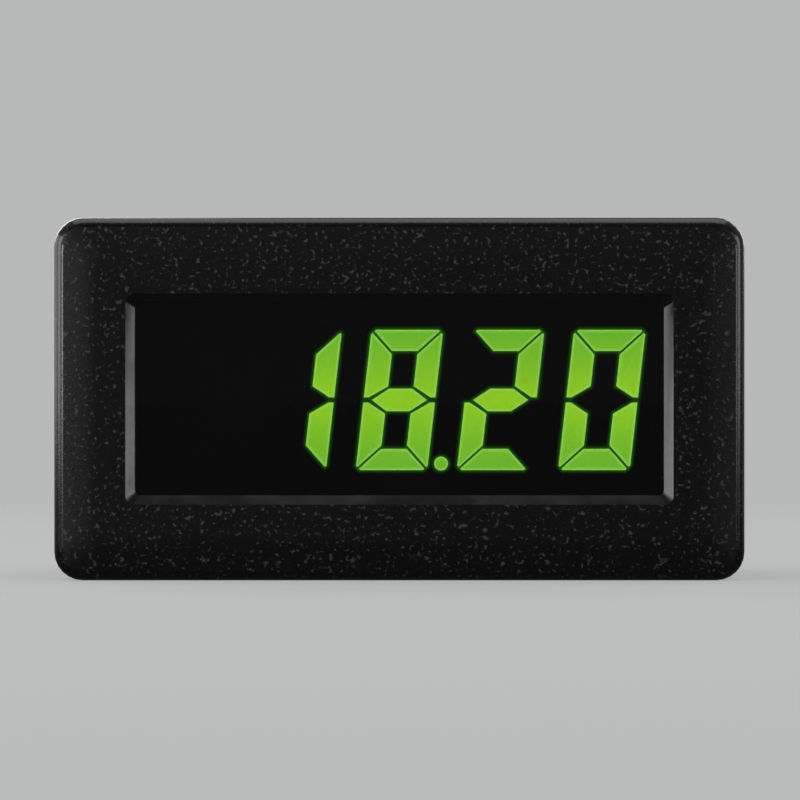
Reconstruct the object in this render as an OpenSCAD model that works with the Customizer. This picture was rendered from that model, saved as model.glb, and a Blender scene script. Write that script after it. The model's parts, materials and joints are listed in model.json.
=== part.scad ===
// Digital panel meter for a rectangular panel cut-out, with a four-figure display,
// a rear screw terminal block and a slide-on clip with two clamp screws.
// X runs to the right, Y to the rear and Z up. The origin is the centre of the
// cut-out on the front surface of the panel, where the gasket's rear face lies.

/* [Bezel] */
// Overlap of the bezel over the panel at each side of the cut-out
side_overlap = 3.5; // [3.3:0.1:6]
// Overlap of the bezel over the panel above and below the cut-out
top_overlap = 3.1; // [2.9:0.1:6]
// Depth of the bezel from its rear face to its front plateau
bezel_d = 7.5; // [7:0.25:10]
// Corner radius of the bezel's outline
bezel_r = 3.1; // [2:0.1:4]
// Radius of the rounded front edge
edge_r = 1.2; // [0.6:0.1:1.6]
// Distance from the bezel's outline to its front plateau
plateau_inset = 4.1; // [3:0.1:5]
// Corner radius of the front plateau
plateau_r = 1.6; // [1:0.1:2.4]
// Slope in degrees of the band around the plateau
band_slope = 8.8; // [4:0.2:12]
// Radius that blends the band into the plateau
shoulder_r = 10; // [4:1:12]
// Width of the lip that presses on the gasket
lip_w = 1.8; // [1.2:0.1:2.4]
// Depth of the hollow behind the bezel, inside its lip
relief_d = 4; // [2:0.5:5]

/* [Window] */
// Width of the window opening
window_w = 57.4; // [54:0.2:66]
// Height of the window opening
window_h = 20.9; // [19:0.1:26]
// Corner radius of the window opening
window_r = 0.6; // [0.3:0.1:1.2]
// Width of the bevel around the window opening
bevel_w = 1; // [0.5:0.1:1.4]
// Depth of the bevel around the window opening
bevel_d = 0.6; // [0.4:0.1:1.2]
// Thickness of the front wall around the window
front_wall = 1.6; // [1.4:0.1:2]
// Thickness of the adhesive seal behind the front wall
seal_t = 0.3; // [0.2:0.05:0.5]
// Thickness of the window pane
pane_t = 1.2; // [0.8:0.1:1.6]

/* [Tub] */
// Distance from the window opening to the tub's inner side walls
side_margin = 3; // [2.4:0.1:5]
// Distance from the window opening to the tub's upper and lower walls
top_margin = 3.85; // [3.6:0.05:6]
// Clearance of the tub in the panel cut-out, on each side
cutout_clearance = 0.3; // [0.2:0.05:0.5]
// Depth of the tub behind the panel's front surface
tub_d = 36; // [35:1:46]
// Thickness of the tub's walls
tub_wall = 2; // [1.8:0.1:2.2]
// Corner radius of the tub
tub_r = 1.5; // [1:0.1:2]
// Thickness of the gasket behind the bezel
gasket_t = 1.2; // [0.8:0.1:2]

/* [Display cell] */
// Thickness of each glass of the display cell
glass_t = 1.1; // [0.7:0.1:1.2]
// Thickness of each polariser film
film_t = 0.2; // [0.15:0.05:0.3]
// Gap between the two glasses, where the figures lie
cell_t = 0.15; // [0.1:0.05:0.2]
// Thickness of the light guide
guide_t = 3; // [2.5:0.1:3.5]
// Thickness of each elastomer connector strip
strip_t = 1; // [0.8:0.1:1.1]

/* [Figures] */
// Height of the figures
figure_h = 15.3; // [12:0.1:16]
// Width of the figures
figure_w = 7.8; // [6:0.1:8.4]
// Distance from one figure to the next
figure_pitch = 11.05; // [10:0.05:12]
// Slant of the figures in degrees
figure_slant = 6.5; // [0:0.5:10]
// Stroke of the upper and lower bars
bar_t = 2.3; // [1.6:0.1:2.6]
// Stroke of the upright bars
post_t = 2.5; // [1.6:0.1:2.6]
// Stroke of the middle bar
middle_t = 2.45; // [1.6:0.05:2.6]
// Gap between neighbouring bars
bar_gap = 0.28; // [0.15:0.01:0.4]
// Diameter of the decimal point
point_d = 1.5; // [1.2:0.1:1.8]

/* [Boards] */
// Thickness of both circuit boards
board_t = 1.6; // [1.4:0.1:1.7]
// Distance of the main board's upper face below the centre line
board_drop = 7; // [6.9:0.1:7.2]
// Pitch of the pin header
pin_pitch = 2.54; // [2:0.02:2.6]
// Number of pins in the header
pin_count = 10; // [6:1:12]

/* [Terminals] */
// Number of terminals
ways = 6; // [3:1:6]
// Pitch of the terminals
way_pitch = 5.08; // [5:0.01:5.1]
// Depth of the terminal block
terminal_d = 10; // [9.8:0.1:12]
// Height of the terminal block above the main board
terminal_h = 11.2; // [11.1:0.1:13]
// Nominal diameter of the terminal screws
terminal_screw_d = 2.5; // [2:0.1:2.6]
// Travel of each terminal cage
cage_travel = 2.25; // [1.8:0.05:2.25]

/* [Clip] */
// Depth of the clip's ring along the tub
clip_d = 8; // [6:0.5:9]
// Distance of the clip's ring behind the panel's front surface, at rest
clip_y = 12; // [12:0.5:14]
// Clearance between the clip and the tub
clip_clearance = 0.25; // [0.15:0.05:0.35]
// Distance of the clip's sides inside the bezel's sides
clip_inset = 0.1; // [0.1:0.05:0.3]
// Distance of the clamp screws' axes outside the tub's sides
clamp_offset = 1.2; // [1.1:0.05:1.3]
// Nominal diameter of the clamp screws
clamp_d = 2.5; // [2:0.1:2.6]
// Length of the clamp screws under the head
clamp_l = 16; // [15:0.5:16]
// Diameter of the clamp feet
foot_d = 4.4; // [4:0.1:4.6]
// Travel of the clamp screws
clamp_travel = 3.6; // [3:0.1:3.6]
// Pitch of the latching teeth along the tub
tooth_pitch = 1.5; // [1.2:0.1:2]

/* [Rear] */
// Thickness of the rear cover
cover_t = 2; // [1.6:0.1:2.4]
// Number of switch sliders
sliders = 4; // [4:1:4]
// Travel of the switch sliders
slider_travel = 1.6; // [1.2:0.1:1.6]
// Diameter of the holes for a trimming tool
trim_hole_d = 4.2; // [3.6:0.1:4.6]

/* [Hidden] */
$fn = 48;
sides = [-1, 1];
over = 0.5;
embed = 0.1;
slot_w = 0.6;
slot_deep = 0.8;

// Bezel and tub
bezel_back = -gasket_t;
bezel_front = bezel_back - bezel_d;
wall_y = bezel_front + front_wall;
cavity_w = window_w + 2 * side_margin;
cavity_h = window_h + 2 * top_margin;
tub_w = cavity_w + 2 * tub_wall;
tub_h = cavity_h + 2 * tub_wall;
bezel_w = tub_w + 2 * (cutout_clearance + side_overlap);
bezel_h = tub_h + 2 * (cutout_clearance + top_overlap);
cavity_r = 0.8;
arc_steps = 6;
fillet_steps = 6;
shoulder_steps = 3;

// Display stack, from the window to the display board
fit = 0.4;
stack_gap = 0.3;
lap = 1;
pane_y = wall_y + seal_t;
front_film_y = pane_y + pane_t + stack_gap;
front_glass_y = front_film_y + film_t;
cell_y = front_glass_y + glass_t;
rear_glass_y = cell_y + cell_t;
rear_film_y = rear_glass_y + glass_t;
frame_y = rear_film_y;
guide_y = rear_film_y + film_t + stack_gap / 2;
reflector_t = 0.2;
reflector_y = guide_y + guide_t;
display_board_y = reflector_y + reflector_t + stack_gap;
display_back = display_board_y + board_t;

// Side channels for the clip's bosses and the clamp feet
channel_gap = 0.25;
channel_front = 0.5;
boss_wall = 0.75;
clamp_x = tub_w / 2 + clamp_offset;
insert_d = clamp_d + 1.3;
boss_x = clamp_x - insert_d / 2 - boss_wall;
boss_half = 3.7;
channel_x = boss_x - channel_gap;
channel_half = boss_half + 0.3;
lining_t = 1.2;
lining_x = channel_x - lining_t;
lining_half = channel_half + lining_t;

// Display parts, inside the channels' linings
glass_w = 2 * lining_x - 1.2;
front_glass_h = cavity_h - 1.2;
display_board_w = 2 * lining_x - 0.6;
display_board_h = cavity_h - 0.8;
display_frame_h = cavity_h - 0.6;
strip_z = front_glass_h / 2 - 0.3 - strip_t;
rear_glass_h = 2 * (strip_z - 0.1);
strip_l = glass_w - 6;
strip_gap = 0.1;
guide_h = 2 * (strip_z - 0.9);
frame_opening_w = glass_w - 1.6;
frame_opening_h = guide_h + 0.4;
led_w = 1.6;
led_h = 3;
led_z = 5;
led_x = frame_opening_w / 2 - 0.3 - led_w;
guide_w = 2 * (led_x - 0.3);
rib_x = 18;
rib_w = 6;
rib_h = 1;
figure_z = -0.1;
corner_cut = 0.5;
post_gap = 0.58;
post_foot = 0.55;
middle_tip = 0.9;
point_x = figure_pitch / 2 - 0.98;
point_z = figure_z - figure_h / 2 + point_d / 2 - 0.05;

// Boards
rail_w = 1.8;
rail_t = 1.2;
slip = 0.1;
board_top = -board_drop;
board_bottom = board_top - board_t;
board_w = cavity_w - 1;
board_front = display_back + 0.5;
cover_y = tub_d - cover_t;
rail_front = board_front + 1;
rail_back = cover_y - 2;
board_back = cover_y - 1.7;
chip_w = 12;
chip_t = 1.6;
chip_z = 4;
header_y = board_front + 1.5;
header_t = 2.5;
pin_w = 0.64;
pin_z = board_top + header_t / 2;
lead_d = 0.7;
can_rim = 0.4;
large_can_d = 8;
large_can_h = 11.5;
large_can_x = 9;
large_can_y = 22;
small_can_d = 6.3;
small_can_h = 9;
small_can_x = 1;
small_can_y = 16;
regulator_x = 10;
regulator_y = 24;
regulator_w = 10.2;
regulator_t = 3.2;
regulator_h = 9;
regulator_leg = 4;
tab_t = 1.3;
tab_h = 6.5;
tab_hole_d = 3.6;
resistor_x = 20;
resistor_y = 11;
resistor_d = 2.3;
resistor_l = 6.2;
resistor_pitch = 3.6;

// Terminal block
block_w = ways * way_pitch;
block_y = cover_y;
block_back = block_y + terminal_d;
block_top = board_top + terminal_h;
tongue_w = block_w + 1.6;
tongue_back = block_back - 0.3;
contact_front = tub_d + 0.4;
screw_y = contact_front + 3.9;
head_recess = 0.6;
head_h = 1.55;
head_d = 3.3;
well_d = 3.7;
head_z = block_top - head_recess - head_h;
shelf_t = 0.6;
chamber_top = head_z - 0.05 - shelf_t;
cage_w = 3.8;
cage_l = 4.2;
cage_h = 5.6;
cage_wall = 0.7;
cage_roof = 1.2;
cage_gap = 0.1;
cage_end_gap = 0.2;
cage_z = chamber_top - 0.15 - cage_travel - cage_h;
contact_t = 0.6;
contact_z = cage_z + cage_h - cage_roof - contact_t - 0.3;
contact_w = 2;
post_w = 0.8;
post_hole_d = 1.3;
pin_drop = 2;
entry_w = 3.2;
entry_low = cage_z + cage_wall - 0.1;
entry_h = 3;

// Clip
clip_w = bezel_w - 2 * clip_inset;
clip_back = clip_y + clip_d;
foot_t = 2;
foot_socket = 0.6;
clamp_head_d = clamp_d + 2;
clamp_head_h = 1.6;
clamp_head_y = clip_back + clamp_travel + 0.4;
clamp_tip_y = clamp_head_y - clamp_l;
foot_y = clamp_tip_y + foot_socket - foot_t;
insert_l = 5;
track_w = 10;
track_deep = 1;
track_front = clip_y + 6;
tooth_h = 0.5;
latch_w = 8;
tongue_t = 1.2;
tongue_l = 7;
tongue_z = tub_h / 2 + 0.9;
tooth_clearance = 0.12;
pawl_y = clip_back + tongue_l - 1.5;
pawl_l = 1;

// Rear cover
cover_gap = 0.2;
snap_x = 20;
snap_w = 8;
snap_l = 5.4;
snap_t = 1.2;
snap_reach = 1.5;
snap_play = 0.3;
window_y = cover_y - 4.7;
snap_window_l = 2.1;
ledge_z = cavity_h / 2 - 3.3;
ledge_half = 1.8;
ledge_t = 1.2;

// Switch and trimmers
slider_pitch = 2.54;
dip_x = -(lining_x - 8.8);
dip_w = 11.6;
dip_h = 6.4;
dip_d = 5;
dip_back = cover_y - 0.3;
dip_z = board_top + dip_h / 2;
slider_w = 1;
slider_h = 1.6;
slider_play = 0.1;
slider_end_play = 0.2;
slot_depth = 1.2;
slider_proud = 0.7;
trimmer_zero_x = lining_x - 11.2;
trimmer_span_x = lining_x - 4.4;
trimmer_w = 6.4;
trimmer_h = 6.8;
trimmer_d = 4.6;
trimmer_back = cover_y - 1;
trimmer_z = board_top + trimmer_h / 2;
rotor_d = 3.8;
rotor_l = 1.4;
rotor_play = 0.1;
rotor_seat = 0.9;
rotor_slot = 0.6;
rotor_slot_deep = 0.5;

// Extrudes a flat outline drawn in X and Z over a thickness along Y.
module plate_y(y, t) {
    translate([0, y + t, 0]) rotate([90, 0, 0]) linear_extrude(t) children();
}

// Extrudes a flat outline drawn in Y and Z over a width along X.
module plate_x(x, w) {
    translate([x, 0, 0]) rotate([90, 0, 90]) linear_extrude(w) children();
}

// Outline of a rectangle with round corners, centred.
module rounded_rect(w, h, r) {
    square([w - 2 * r, h], center = true);
    square([w, h - 2 * r], center = true);
    for (sx = sides, sz = sides) {
        translate([sx * (w / 2 - r), sz * (h / 2 - r)]) circle(r);
    }
}

// Centred slab with round corners across Y.
module slab(w, h, r, y, t) {
    plate_y(y, t) rounded_rect(w, h, r);
}

// Box centred on x, w wide, between two depths y and between two heights z.
module block(x, w, y, z) {
    translate([x - w / 2, y[0], z[0]]) cube([w, y[1] - y[0], z[1] - z[0]]);
}

// Round bar along Y.
module rod_y(d, x, z, y0, y1) {
    translate([x, y0, z]) rotate([-90, 0, 0]) cylinder(d = d, h = y1 - y0);
}

// Round bar along Z.
module rod_z(d, x, y, z0, z1) {
    translate([x, y, z0]) cylinder(d = d, h = z1 - z0);
}

// One ring of points round a rectangle with round corners, at a depth y.
function ring(w, h, r, y) = [
    for (corner = [0 : 3], step = [0 : arc_steps])
        let (a = 90 * (corner + step / arc_steps))
        let (cx = (corner == 0 || corner == 3 ? 1 : -1) * (w / 2 - r))
        let (cz = (corner < 2 ? 1 : -1) * (h / 2 - r))
        [cx + r * cos(a), y, cz + r * sin(a)]
];

// Solid through a row of rings, from the front ring to the rear ring.
module loft(rings) {
    n = len(rings[0]);
    last = (len(rings) - 1) * n;
    walls = [
        for (level = [0 : len(rings) - 2], i = [0 : n - 1])
            let (a = level * n + i, b = level * n + (i + 1) % n)
            each [[a, b, b + n], [a, b + n, a + n]]
    ];
    front = [for (i = [0 : n - 1]) n - 1 - i];
    rear = [for (i = [0 : n - 1]) last + i];
    polyhedron(points = [for (r = rings) each r], faces = [front, rear, each walls]);
}

// Bezel: rounded front edge, gently sloping band and flat plateau.
shoulder_reach = shoulder_r * tan(band_slope / 2);
plateau_end = plateau_inset + shoulder_reach;
fillet_y = bezel_front + (plateau_inset - edge_r) * tan(band_slope) + edge_r / cos(band_slope);
shoulder_profile = [
    for (i = [0 : shoulder_steps])
        let (a = band_slope * i / shoulder_steps)
        [plateau_end - shoulder_r * sin(a), bezel_front + shoulder_r * (1 - cos(a))]
];
fillet_profile = [
    for (i = [0 : fillet_steps])
        let (a = (90 - band_slope) * (1 - i / fillet_steps))
        [edge_r * (1 - cos(a)), fillet_y - edge_r * sin(a)]
];
bezel_profile = [each shoulder_profile, each fillet_profile, [0, bezel_back]];

function bezel_ring(p) = let (r = bezel_r + (plateau_r - bezel_r) * p[0] / plateau_end)
    ring(bezel_w - 2 * p[0], bezel_h - 2 * p[0], r, p[1]);

module bezel_form() {
    loft([for (p = bezel_profile) bezel_ring(p)]);
}

module window_cut() {
    flare = 2 * (bevel_w + over * bevel_w / bevel_d);
    loft([
        ring(window_w + flare, window_h + flare, 2 * window_r, bezel_front - over),
        ring(window_w, window_h, window_r, bezel_front + bevel_d),
        ring(window_w, window_h, window_r, wall_y + over)
    ]);
}

// Hollow behind the bezel, between its lip and the tub.
module bezel_relief() {
    plate_y(bezel_back - relief_d, relief_d + over) difference() {
        rounded_rect(bezel_w - 2 * lip_w, bezel_h - 2 * lip_w, tub_r);
        rounded_rect(tub_w, tub_h, tub_r);
    }
}

// Repeats the right-hand side on the left, as its mirror image.
module both_sides() {
    children();
    mirror([1, 0, 0]) children();
}

// Repeats the upper side below, as its mirror image.
module above_and_below() {
    children();
    mirror([0, 0, 1]) children();
}

module side_channel() {
    deep = tub_w / 2 + over - channel_x;
    block(channel_x + deep / 2, deep, [channel_front, tub_d + over], [-channel_half, channel_half]);
}

module channel_lining() {
    thick = channel_x - embed - lining_x;
    block(lining_x + thick / 2, thick, [channel_front - lining_t, tub_d], [-lining_half, lining_half]);
}

module latch_track() {
    block(0, track_w, [track_front, tub_d + over], [tub_h / 2 - track_deep, tub_h / 2 + over]);
}

module latch_teeth() {
    floor_z = tub_h / 2 - track_deep;
    tooth_l = tooth_pitch * 0.8;
    for (y = [track_front + 1 : tooth_pitch : tub_d - tooth_pitch]) {
        plate_x(-track_w / 2, track_w) polygon([
            [y, floor_z - embed],
            [y, floor_z + tooth_h],
            [y + tooth_l, floor_z],
            [y + tooth_l, floor_z - embed]
        ]);
    }
}

// Rails above and below the edge of the main board.
module board_rails() {
    deep = rail_w + embed;
    for (z = [board_bottom - slip - rail_t, board_top + slip]) {
        block(cavity_w / 2 - rail_w + deep / 2, deep, [rail_front, rail_back], [z, z + rail_t]);
    }
}

// Rib that holds the display board against the display frame.
module display_rib() {
    block(rib_x, rib_w, [display_back, display_back + rib_h], [cavity_h / 2 - rib_h, cavity_h / 2 + embed]);
}

// Ledge that the rear cover seats on.
module cover_ledge() {
    deep = ledge_t + embed;
    x = cavity_w / 2 - ledge_t + deep / 2;
    block(x, deep, [cover_y - ledge_t, cover_y], [ledge_z - ledge_half, ledge_z + ledge_half]);
}

module snap_window() {
    block(snap_x, snap_w + 2 * snap_play, [window_y, window_y + snap_window_l], [0, tub_h]);
}

module case() {
    color("#1c1c1d") union() {
        difference() {
            union() {
                bezel_form();
                slab(tub_w, tub_h, tub_r, bezel_back - relief_d - 1, tub_d - bezel_back + relief_d + 1);
            }
            slab(cavity_w, cavity_h, cavity_r, wall_y, tub_d - wall_y + over);
            window_cut();
            bezel_relief();
            both_sides() side_channel();
            above_and_below() latch_track();
            both_sides() above_and_below() snap_window();
        }
        both_sides() {
            channel_lining();
            board_rails();
            above_and_below() display_rib();
            above_and_below() cover_ledge();
        }
        above_and_below() latch_teeth();
    }
}

module window_seal() {
    color("#101010") plate_y(wall_y, seal_t) difference() {
        rounded_rect(cavity_w - 2 * fit, cavity_h - 2 * fit, cavity_r);
        rounded_rect(window_w + lap, window_h + lap, window_r);
    }
}

module window() {
    color("#0c0e0c", 0.6) slab(cavity_w - 2 * fit, cavity_h - 2 * fit, cavity_r, pane_y, pane_t);
}

module film(y) {
    plate_y(y, film_t) square([window_w + lap, window_h + lap], center = true);
}

module lcd_front_polariser() {
    color("#202420", 0.6) film(front_film_y);
}

module lcd_front_glass() {
    color("#c8d8d0", 0.4) plate_y(front_glass_y, glass_t) square([glass_w, front_glass_h], center = true);
}

module lcd_edge_seal() {
    color("#303030") plate_y(cell_y, cell_t) difference() {
        square([glass_w, rear_glass_h], center = true);
        square([window_w + lap, window_h + lap], center = true);
    }
}

module lcd_rear_glass() {
    color("#c8d8d0", 0.4) plate_y(rear_glass_y, glass_t) square([glass_w, rear_glass_h], center = true);
}

module lcd_rear_polariser() {
    color("#202420", 0.6) film(rear_film_y);
}

// Bars of a seven-bar figure, drawn upright about the figure's centre.
half_w = figure_w / 2;
half_h = figure_h / 2;
mitre = bar_gap / sqrt(2);
upper_bar = [
    [-half_w + corner_cut, half_h],
    [half_w - corner_cut, half_h],
    [half_w - (corner_cut + mitre) / 2, half_h - (corner_cut - mitre) / 2],
    [half_w - bar_t - mitre, half_h - bar_t],
    [-half_w + bar_t + mitre, half_h - bar_t],
    [-half_w + (corner_cut + mitre) / 2, half_h - (corner_cut - mitre) / 2]
];
right_post = [
    [half_w - post_t, half_h - post_t - mitre],
    [half_w - (corner_cut - mitre) / 2, half_h - (corner_cut + mitre) / 2],
    [half_w, half_h - corner_cut],
    [half_w, post_gap / 2],
    [half_w - post_foot, post_gap / 2],
    [half_w - post_t, middle_t / 2 + bar_gap]
];
middle_flat = half_w - post_t - bar_gap / 2;
middle_bar = [
    [-half_w + middle_tip, 0],
    [-middle_flat, middle_t / 2],
    [middle_flat, middle_t / 2],
    [half_w - middle_tip, 0],
    [middle_flat, -middle_t / 2],
    [-middle_flat, -middle_t / 2]
];
upside = [1, -1];
leftside = [-1, 1];

module bar(points, flip = [1, 1]) {
    polygon([for (p = points) [p[0] * flip[0] + p[1] * flip[1] * tan(figure_slant), p[1] * flip[1]]]);
}

// A figure from its lit bars: upper, middle, lower, then the four posts.
module figure(column, upper, middle, lower, posts) {
    color("#96cb28") translate([column * figure_pitch, 0, figure_z]) plate_y(cell_y, cell_t) {
        if (upper) bar(upper_bar);
        if (middle) bar(middle_bar);
        if (lower) bar(upper_bar, upside);
        for (flip = posts) bar(right_post, flip);
    }
}

right_posts = [[1, 1], upside];
module figure_tens() {
    figure(-1, false, false, false, right_posts);
}

module figure_units() {
    figure(0, true, true, true, [each right_posts, leftside, [-1, -1]]);
}

module figure_tenths() {
    figure(1, true, true, true, [[1, 1], [-1, -1]]);
}

module figure_hundredths() {
    figure(2, true, false, true, [each right_posts, leftside, [-1, -1]]);
}

module decimal_point() {
    color("#96cb28") rod_y(point_d, point_x, point_z, cell_y, cell_y + cell_t);
}

module light_guide() {
    color("#d8e8c0", 0.7) slab(guide_w, guide_h, 0.5, guide_y, guide_t);
}

module backlight_reflector() {
    color("#f0f0ec") slab(guide_w, guide_h, 0.5, reflector_y, reflector_t);
}

module backlight_leds() {
    z = [led_z - led_h / 2, led_z + led_h / 2];
    color("#d0e070") both_sides() above_and_below() {
        block(led_x + led_w / 2, led_w, [display_board_y - led_h, display_board_y], z);
    }
}

module display_frame() {
    color("#e4e4de") plate_y(frame_y, display_board_y - frame_y) difference() {
        square([display_board_w, display_frame_h], center = true);
        square([frame_opening_w, frame_opening_h], center = true);
        for (side = sides) {
            translate([0, side * (strip_z + strip_t / 2)]) {
                square([strip_l + 2 * strip_gap, strip_t + 2 * strip_gap], center = true);
            }
        }
    }
}

module zebra_strip(side) {
    color("#e08090") translate([0, 0, side * (strip_z + strip_t / 2)]) {
        plate_y(cell_y, display_board_y - cell_y) square([strip_l, strip_t], center = true);
    }
}

module zebra_strip_upper() {
    zebra_strip(1);
}

module zebra_strip_lower() {
    zebra_strip(-1);
}

module display_board() {
    color("#1f6b3a") slab(display_board_w, display_board_h, 0.5, display_board_y, board_t);
}

module converter_chip() {
    leg_pitch = 1.27;
    leg_w = 0.4;
    leg_l = 1.2;
    leg_x = chip_w / 2 - 0.2 + leg_l / 2;
    color("#202022") union() {
        translate([0, 0, chip_z]) slab(chip_w, chip_w, 0.3, display_back + 0.1, chip_t);
        for (side = sides, i = [-3.5 : 1 : 3.5]) {
            z = chip_z + i * leg_pitch - leg_w / 2;
            block(side * leg_x, leg_l, [display_back, display_back + leg_w], [z, z + leg_w]);
        }
    }
}

module main_board() {
    color("#1f6b3a") difference() {
        union() {
            block(0, board_w, [board_front, board_back], [board_bottom, board_top]);
            block(0, tongue_w, [board_back - over, tongue_back], [board_bottom, board_top]);
        }
        for (x = way_x) {
            rod_z(post_hole_d, x, contact_front + post_w / 2, board_bottom - over, board_top + over);
        }
    }
}

pin_x = [for (i = [0 : pin_count - 1]) (i - (pin_count - 1) / 2) * pin_pitch];
module board_header() {
    half = pin_w / 2 + 0.05;
    color("#1a1a1c") difference() {
        block(0, pin_count * pin_pitch, [header_y, header_y + header_t], [board_top, board_top + header_t]);
        for (x = pin_x) {
            block(x, 2 * half, [header_y - over, header_y + header_t + over], [pin_z - half, pin_z + half]);
        }
    }
}

module header_pins() {
    heel_y = header_y + header_t + 0.4;
    color("#c8a850") for (x = pin_x) {
        block(x, pin_w, [display_back, heel_y + pin_w], [pin_z - pin_w / 2, pin_z + pin_w / 2]);
        block(x, pin_w, [heel_y, heel_y + pin_w], [board_top, pin_z]);
    }
}

module can(d, h, x, y) {
    rod_z(d, x, y, board_top, board_top + h - can_rim);
    rod_z(d - 2 * can_rim, x, y, board_top, board_top + h);
}

module capacitors() {
    color("#25282e") {
        can(large_can_d, large_can_h, -large_can_x, large_can_y);
        can(small_can_d, small_can_h, -small_can_x, small_can_y);
    }
}

module voltage_regulator() {
    body_z = board_top + regulator_leg;
    tab_y = regulator_y + regulator_t;
    tab_top = body_z + regulator_h + tab_h;
    leg_y = [regulator_y + regulator_t / 2, regulator_y + regulator_t / 2 + lead_d];
    color("#2a2a2c") union() {
        block(regulator_x, regulator_w, [regulator_y, tab_y], [body_z, body_z + regulator_h]);
        difference() {
            block(regulator_x, regulator_w, [tab_y - embed, tab_y + tab_t], [body_z, tab_top]);
            rod_y(tab_hole_d, regulator_x, tab_top - tab_h / 2, regulator_y, tab_y + tab_t + over);
        }
        for (i = [-1 : 1]) {
            block(regulator_x + i * pin_pitch, lead_d, leg_y, [board_top, body_z + embed]);
        }
    }
}

module rod_x(d, x0, x1, y, z) {
    translate([x0, y, z]) rotate([0, 90, 0]) cylinder(d = d, h = x1 - x0);
}

module resistors() {
    z = board_top + resistor_d / 2 + 0.1;
    half = resistor_l / 2 + 2 * lead_d;
    color("#c8a070") for (y = [resistor_y : resistor_pitch : resistor_y + 3.5 * resistor_pitch]) {
        union() {
            rod_x(resistor_d, -resistor_x - resistor_l / 2, -resistor_x + resistor_l / 2, y, z);
            rod_x(lead_d, -resistor_x - half, -resistor_x + half, y, z);
            for (side = sides) rod_z(lead_d, -resistor_x + side * (half - lead_d / 2), y, board_top, z);
        }
    }
}

module trimmer_bodies() {
    color("#2f6fb4") for (x = [trimmer_zero_x, trimmer_span_x]) {
        difference() {
            block(x, trimmer_w, [trimmer_back - trimmer_d, trimmer_back], [board_top, board_top + trimmer_h]);
            rod_y(rotor_d + 2 * rotor_play, x, trimmer_z, trimmer_back - rotor_seat, trimmer_back + over);
        }
    }
}

module trimmer_rotor(x) {
    y0 = trimmer_back - rotor_seat + rotor_play;
    y1 = y0 + rotor_l;
    slot_y = [y1 - rotor_slot_deep, y1 + over];
    color("#e8e4d8") difference() {
        rod_y(rotor_d, x, trimmer_z, y0, y1);
        block(x, 2 * rotor_d, slot_y, [trimmer_z - rotor_slot / 2, trimmer_z + rotor_slot / 2]);
        block(x, rotor_slot, slot_y, [trimmer_z - rotor_d / 3, trimmer_z + rotor_d / 3]);
    }
}

module trimmer_rotor_zero() {
    trimmer_rotor(trimmer_zero_x);
}

module trimmer_rotor_span() {
    trimmer_rotor(trimmer_span_x);
}

slider_x = [for (i = [0 : sliders - 1]) dip_x + (i - (sliders - 1) / 2) * slider_pitch];
slider_z = dip_z - slider_travel / 2;
module dip_switch_body() {
    slot_half = (slider_h + slider_travel) / 2 + slider_end_play;
    slot_y = [dip_back - slot_depth, dip_back + over];
    color("#b02820") difference() {
        block(dip_x, dip_w, [dip_back - dip_d, dip_back], [board_top, board_top + dip_h]);
        for (x = slider_x) {
            block(x, slider_w + 2 * slider_play, slot_y, [dip_z - slot_half, dip_z + slot_half]);
        }
    }
}

module dip_slider(i) {
    x = slider_x[i - 1];
    y0 = dip_back - slot_depth + slider_play;
    color("#f0f0ea") union() {
        block(x, slider_w, [y0, dip_back + 0.2], [slider_z - slider_h / 2, slider_z + slider_h / 2]);
        block(x, slider_w, [y0, dip_back + slider_proud], [slider_z - slider_h / 4, slider_z + slider_h / 4]);
    }
}

// Terminal block: a housing with a chamber for each cage, under a screw well.
way_x = [for (i = [0 : ways - 1]) (i - (ways - 1) / 2) * way_pitch];

module terminal_housing() {
    chamfer = 1.5;
    color("#2f7d46") difference() {
        plate_x(-block_w / 2, block_w) polygon([
            [block_y, board_top],
            [block_back, board_top],
            [block_back, block_top - chamfer],
            [block_back - chamfer, block_top],
            [block_y + 0.6, block_top],
            [block_y, block_top - 0.6]
        ]);
        for (x = way_x) terminal_way_cut(x);
    }
}

module terminal_way_cut(x) {
    half_l = cage_l / 2 + cage_end_gap;
    contact_slot_w = contact_w + 2 * cage_gap;
    post_slot_w = post_w + 2 * cage_gap;
    post_y = [contact_front - cage_gap, contact_front + post_w + cage_gap];
    rod_z(well_d, x, screw_y, head_z - 0.05, block_top + over);
    rod_z(terminal_screw_d + 0.2, x, screw_y, chamber_top - over, head_z);
    block(x, cage_w + 2 * cage_gap, [screw_y - half_l, screw_y + half_l], [cage_z - 0.15, chamber_top]);
    block(x, entry_w, [screw_y, block_back + over], [entry_low, entry_low + entry_h]);
    block(x, contact_slot_w, [post_y[0], screw_y], [contact_z - cage_gap, contact_z + contact_t + cage_gap]);
    block(x, post_slot_w, post_y, [board_top - over, contact_z + cage_gap]);
}

module terminal_contacts() {
    contact_back = screw_y + cage_l / 2 - 0.2;
    post_y = [contact_front, contact_front + post_w];
    color("#c9a44c") for (x = way_x) {
        union() {
            block(x, contact_w, [contact_front, contact_back], [contact_z, contact_z + contact_t]);
            block(x, post_w, post_y, [board_bottom - pin_drop, contact_z + embed]);
        }
    }
}

module terminal_cage(i) {
    x = way_x[i - 1];
    open_y = [screw_y - cage_l, screw_y + cage_l];
    color("#c9a44c") difference() {
        block(x, cage_w, [screw_y - cage_l / 2, screw_y + cage_l / 2], [cage_z, cage_z + cage_h]);
        block(x, cage_w - 2 * cage_wall, open_y, [cage_z + cage_wall, cage_z + cage_h - cage_roof]);
        rod_z(terminal_screw_d + 0.1, x, screw_y, cage_z + 2 * cage_wall, cage_z + cage_h + over);
    }
}

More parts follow.
